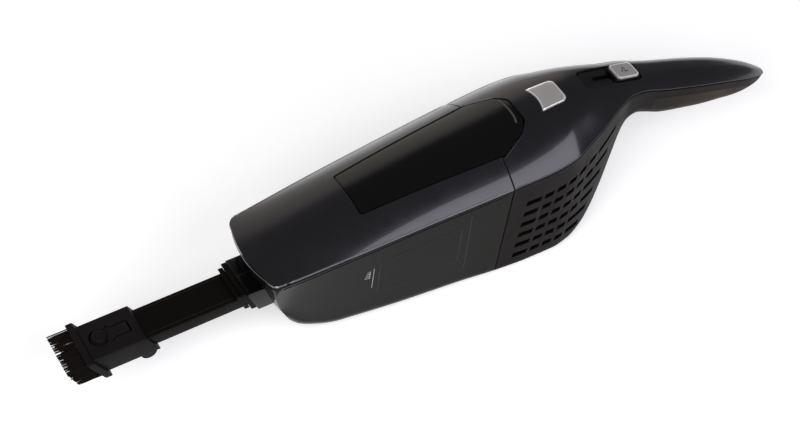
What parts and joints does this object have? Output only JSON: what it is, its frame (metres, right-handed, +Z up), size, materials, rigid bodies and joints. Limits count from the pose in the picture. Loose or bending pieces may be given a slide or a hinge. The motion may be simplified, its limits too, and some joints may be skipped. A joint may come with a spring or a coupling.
{
  "type": "handheld vacuum cleaner",
  "caption": "Cordless handheld vacuum with a see-through dust unit, a vented motor unit with a drooping handle, and a flat crevice tool carrying a sliding dusting brush.",
  "frame": {"origin": "on the flat belly, on the symmetry plane, below the top of the joint between the dust unit and the motor unit", "axes": "-X towards the nozzle, +X along the handle, +Z up, Y across the body with Y = 0 its symmetry plane"},
  "size_m": [0.6264, 0.1046, 0.1379],
  "materials": {
    "violet_grey_gloss": "glossy moulded plastic, dark grey with a faint violet metallic cast",
    "smoky_clear": "smoky translucent moulded plastic, glossy",
    "dark_window": "very dark tinted clear plastic, polished",
    "brown_black_matte": "fine-textured brown-black plastic",
    "soft_grip": "soft-touch dark elastomer, matte",
    "silver_satin": "satin silver painted plastic",
    "black_gloss": "glossy black plastic",
    "black_plastic": "satin black moulded plastic",
    "bristle_black": "black synthetic bristle tufts",
    "black_rubber": "matte black rubber",
    "filter_white": "off-white pleated filter medium",
    "screen_steel": "fine steel screen or drawn wire",
    "motor_steel": "plated sheet steel",
    "fan_grey": "mid-grey moulded plastic",
    "cell_green": "green shrink sleeve over a cell",
    "board_green": "green lacquered circuit board",
    "foam_grey": "open-cell exhaust foam",
    "screw_zinc": "zinc-plated steel"
  },
  "bodies": {
    "motor_unit": {"rear_upper_shell": "violet_grey_gloss", "lower_housing": "brown_black_matte", "grip_panel": "soft_grip", "charging_socket": "black_gloss", "bulkhead": "brown_black_matte", "intake_seal": "black_rubber", "fan_housing": "fan_grey", "motor_can": "motor_steel", "motor_ring": "black_rubber", "motor_cradle": "black_plastic", "exhaust_foam_left": "foam_grey", "exhaust_foam_right": "foam_grey", "battery_cell_1": "cell_green", "battery_cell_2": "cell_green", "battery_cell_3": "cell_green", "battery_cell_4": "cell_green", "battery_tray": "black_plastic", "latch_bracket": "black_plastic", "latch_pin": "screen_steel", "latch_spring": "screen_steel", "switch_track": "black_gloss", "circuit_board": "board_green", "slide_switch": "black_plastic", "handle_screw_1": "screw_zinc", "handle_screw_2": "screw_zinc", "belly_screw_1": "screw_zinc", "belly_screw_2": "screw_zinc"},
    "dust_unit": {"dust_container": "smoky_clear", "top_cover": "violet_grey_gloss", "window_panel": "dark_window", "nozzle_port": "black_plastic", "flap_hinge_rail": "black_plastic"},
    "filter_unit": {"filter_frame": "fan_grey", "filter_screen": "screen_steel", "filter_pleats": "filter_white", "filter_pull_tab": "fan_grey"},
    "flap": {"inlet_flap": "black_rubber"},
    "crevice_tool": {"crevice_tube": "black_plastic"},
    "dusting_brush": {"brush_sleeve": "black_plastic", "bristle_ring": "bristle_black"},
    "brush_catch": {"brush_latch": "black_plastic"},
    "button": {"release_button": "silver_satin"},
    "unit_latch": {"latch_lever": "black_plastic"},
    "power_slider": {"slider_base": "black_gloss", "slider_cap": "silver_satin"},
    "rotor": {"impeller": "fan_grey", "motor_shaft": "screen_steel"}
  },
  "joints": [
    {"name": "dust_unit_slide", "type": "slide", "parent": "motor_unit", "child": "dust_unit", "axis": [-1, 0, 0], "range_m": [0, 0.08]},
    {"name": "filter_slide", "type": "slide", "parent": "motor_unit", "child": "filter_unit", "axis": [-1, 0, 0], "range_m": [0, 0.03]},
    {"name": "flap_hinge", "type": "hinge", "parent": "dust_unit", "child": "flap", "pos_m": [-0.175, 0, 0.0729], "axis": [0, -1, 0], "range_deg": [0, 60]},
    {"name": "tool_slide", "type": "slide", "parent": "dust_unit", "child": "crevice_tool", "axis": [-1, 0, 0], "range_m": [0, 0.04]},
    {"name": "brush_slide", "type": "slide", "parent": "crevice_tool", "child": "dusting_brush", "axis": [1, 0, 0], "range_m": [0, 0.065]},
    {"name": "brush_catch_hinge", "type": "hinge", "parent": "dusting_brush", "child": "brush_catch", "pos_m": [-0.293, 0, 0.072], "axis": [0, -1, 0], "range_deg": [0, 3], "stiffness_Nm_per_rad": 0.05},
    {"name": "button_press", "type": "slide", "parent": "motor_unit", "child": "button", "axis": [0, 0, -1], "range_m": [0, 0.0025], "stiffness_N_per_m": 400},
    {"name": "latch_hinge", "type": "hinge", "parent": "motor_unit", "child": "unit_latch", "pos_m": [0.08, 0, 0.1242], "axis": [0, -1, 0], "range_deg": [0, 6.5], "stiffness_Nm_per_rad": 0.02, "deforming": ["latch_spring"]},
    {"name": "power_slide", "type": "slide", "parent": "motor_unit", "child": "power_slider", "axis": [-0.9686, 0, 0.2487], "range_m": [0, 0.024]},
    {"name": "rotor_spin", "type": "hinge", "parent": "motor_unit", "child": "rotor", "pos_m": [0.015, 0, 0.053], "axis": [1, 0, 0], "continuous": true}
  ],
  "couplings": [
    {"joint": "latch_hinge", "follows": "button_press", "rad_per_m": 45.37}
  ]
}
